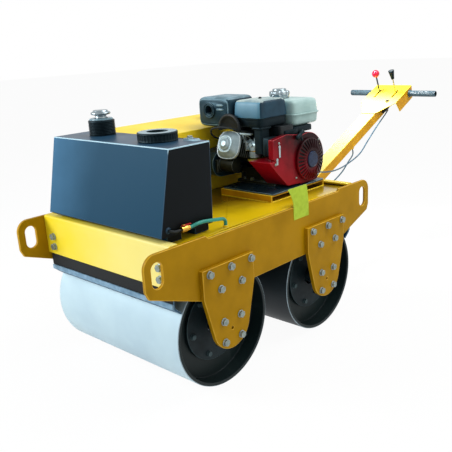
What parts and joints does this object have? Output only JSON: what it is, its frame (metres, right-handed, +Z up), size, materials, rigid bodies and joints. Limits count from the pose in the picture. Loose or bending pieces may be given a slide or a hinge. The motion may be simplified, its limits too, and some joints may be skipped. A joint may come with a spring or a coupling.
{
  "type": "walk-behind tandem vibratory roller",
  "caption": "Walk-behind tandem roller with two smooth vibrating drums, an oil tank, a petrol engine driving a hydraulic pump, and a folding operator's handle.",
  "frame": {"origin": "on the ground, under the middle of the whole machine", "axes": "X along the drum axles, +Y towards the operator's handle, +Z up"},
  "size_m": [0.8582, 2.3398, 1.0722],
  "materials": {
    "yellow_paint": "gloss",
    "mustard_plate": "gloss",
    "tank_black": "gloss",
    "machined_steel": "satin",
    "dark_steel": "matte",
    "zinc_bolts": "satin",
    "shaft_steel": "satin",
    "scraper_blue": "gloss",
    "chrome_trim": "polished",
    "black_plastic": "satin",
    "brass_fitting": "satin",
    "red_plastic": "gloss",
    "teal_hose": "satin",
    "black_rubber": "matte",
    "engine_red": "gloss",
    "engine_black": "satin",
    "cast_aluminium": "satin",
    "cover_silver": "satin",
    "fuel_tank_grey": "gloss",
    "card_green": "matte"
  },
  "bodies": {
    "chassis": {"right_side_plate": "mustard_plate", "left_side_plate": "mustard_plate", "front_beam": "yellow_paint", "rear_beam": "yellow_paint", "deck_plate": "yellow_paint", "leg_plates": "mustard_plate", "frame_bolts": "zinc_bolts", "axle_housings": "dark_steel", "drum_bearings": "shaft_steel", "drum_scrapers": "scraper_blue", "oil_tank": "tank_black", "breather_body": "black_plastic", "water_tank": "yellow_paint", "hose_valve": "brass_fitting", "drain_hose": "teal_hose", "loop_hose": "black_rubber", "engine_pedestal": "yellow_paint", "engine_base": "engine_black", "crankcase": "cast_aluminium", "cylinder_head": "cast_aluminium", "valve_cover": "cover_silver", "muffler": "engine_black", "air_cleaner": "black_plastic", "fuel_tank": "fuel_tank_grey", "fan_shroud": "engine_red", "recoil_cover": "engine_red", "carburettor": "cast_aluminium", "ignition_lead": "black_rubber", "belt_guard": "engine_black", "drive_belts": "black_rubber", "hydraulic_pump": "dark_steel", "pivot_pin": "zinc_bolts", "throttle_cable": "black_rubber", "drive_cable": "black_rubber", "stuck_card": "card_green"},
    "front_drum_body": {"front_drum": "machined_steel", "front_drum_hubs": "dark_steel", "front_hub_bolts": "zinc_bolts"},
    "rear_drum_body": {"rear_drum": "machined_steel", "rear_drum_hubs": "dark_steel", "rear_hub_bolts": "zinc_bolts"},
    "front_exciter_body": {"front_exciter": "shaft_steel"},
    "rear_exciter_body": {"rear_exciter": "shaft_steel"},
    "crankshaft_body": {"crankshaft": "shaft_steel"},
    "pump_pulley_body": {"pump_pulley": "shaft_steel"},
    "handle_body": {"handle_arm": "yellow_paint", "console": "yellow_paint", "handlebar": "chrome_trim", "handle_grips": "black_rubber"},
    "drive_lever_body": {"drive_lever": "red_plastic"},
    "vibration_lever_body": {"vibration_lever": "black_plastic"},
    "stop_button_body": {"stop_button": "black_plastic"},
    "breather_cap_body": {"breather_cap": "chrome_trim"},
    "filler_cap_body": {"filler_cap": "black_plastic"},
    "water_cap_body": {"water_tank_cap": "black_plastic"},
    "fuel_cap_body": {"fuel_cap": "chrome_trim"},
    "valve_lever_body": {"valve_lever": "red_plastic"},
    "recoil_grip_body": {"recoil_grip": "black_plastic"},
    "throttle_lever_body": {"throttle_lever": "zinc_bolts"},
    "fuel_lever_body": {"fuel_lever": "zinc_bolts"}
  },
  "joints": [
    {"name": "front_drum_roll", "type": "hinge", "parent": "chassis", "child": "front_drum_body", "pos_m": [0, -0.79491, 0.24], "axis": [1, 0, 0], "continuous": true},
    {"name": "rear_drum_roll", "type": "hinge", "parent": "chassis", "child": "rear_drum_body", "pos_m": [0, -0.17491, 0.24], "axis": [1, 0, 0], "continuous": true},
    {"name": "front_exciter_spin", "type": "hinge", "parent": "chassis", "child": "front_exciter_body", "pos_m": [0, -0.79491, 0.24], "axis": [1, 0, 0], "continuous": true},
    {"name": "rear_exciter_spin", "type": "hinge", "parent": "chassis", "child": "rear_exciter_body", "pos_m": [0, -0.17491, 0.24], "axis": [1, 0, 0], "continuous": true},
    {"name": "crankshaft_spin", "type": "hinge", "parent": "chassis", "child": "crankshaft_body", "pos_m": [0, -0.09191, 0.752], "axis": [1, 0, 0], "continuous": true},
    {"name": "pump_pulley_spin", "type": "hinge", "parent": "chassis", "child": "pump_pulley_body", "pos_m": [0, -0.33491, 0.745], "axis": [1, 0, 0], "continuous": true},
    {"name": "handle_fold", "type": "hinge", "parent": "chassis", "child": "handle_body", "pos_m": [0, 0.11509, 0.468], "axis": [1, 0, 0], "range_deg": [0, 60], "deforming": ["throttle_cable", "drive_cable"]},
    {"name": "drive_lever_tilt", "type": "hinge", "parent": "handle_body", "child": "drive_lever_body", "pos_m": [-0.057, 1.10564, 0.88659], "axis": [1, 0, 0], "range_deg": [-12, 25]},
    {"name": "vibration_lever_tilt", "type": "hinge", "parent": "handle_body", "child": "vibration_lever_body", "pos_m": [0.057, 1.0938, 0.88122], "axis": [1, 0, 0], "range_deg": [-20, 25]},
    {"name": "stop_button_press", "type": "slide", "parent": "handle_body", "child": "stop_button_body", "axis": [0, 0.4131, -0.9107], "range_m": [0, 0.005], "stiffness_N_per_m": 400, "springref_m": -0.003},
    {"name": "breather_cap_lift", "type": "slide", "parent": "chassis", "child": "breather_cap_body", "axis": [0, 0, 1], "range_m": [0, 0.06]},
    {"name": "filler_cap_lift", "type": "slide", "parent": "chassis", "child": "filler_cap_body", "axis": [0, 0, 1], "range_m": [0, 0.08]},
    {"name": "water_cap_lift", "type": "slide", "parent": "chassis", "child": "water_cap_body", "axis": [0, 0, 1], "range_m": [0, 0.08]},
    {"name": "fuel_cap_lift", "type": "slide", "parent": "chassis", "child": "fuel_cap_body", "axis": [0, 0, 1], "range_m": [0, 0.08]},
    {"name": "valve_lever_turn", "type": "hinge", "parent": "chassis", "child": "valve_lever_body", "pos_m": [0.357, -0.94691, 0.668], "axis": [0, 0, 1], "range_deg": [-90, 0]},
    {"name": "recoil_pull", "type": "slide", "parent": "chassis", "child": "recoil_grip_body", "axis": [0, -0.5, 0.866], "range_m": [0, 0.5], "stiffness_N_per_m": 20, "springref_m": -0.2},
    {"name": "throttle_lever_turn", "type": "hinge", "parent": "chassis", "child": "throttle_lever_body", "pos_m": [0.264, -0.29491, 0.835], "axis": [1, 0, 0], "range_deg": [-30, 25]},
    {"name": "fuel_lever_turn", "type": "hinge", "parent": "chassis", "child": "fuel_lever_body", "pos_m": [0.264, -0.31291, 0.783], "axis": [1, 0, 0], "range_deg": [0, 90]}
  ],
  "couplings": [
    {"joint": "rear_drum_roll", "follows": "front_drum_roll", "ratio": 1},
    {"joint": "rear_exciter_spin", "follows": "front_exciter_spin", "ratio": 1},
    {"joint": "pump_pulley_spin", "follows": "crankshaft_spin", "ratio": 1.4286}
  ]
}
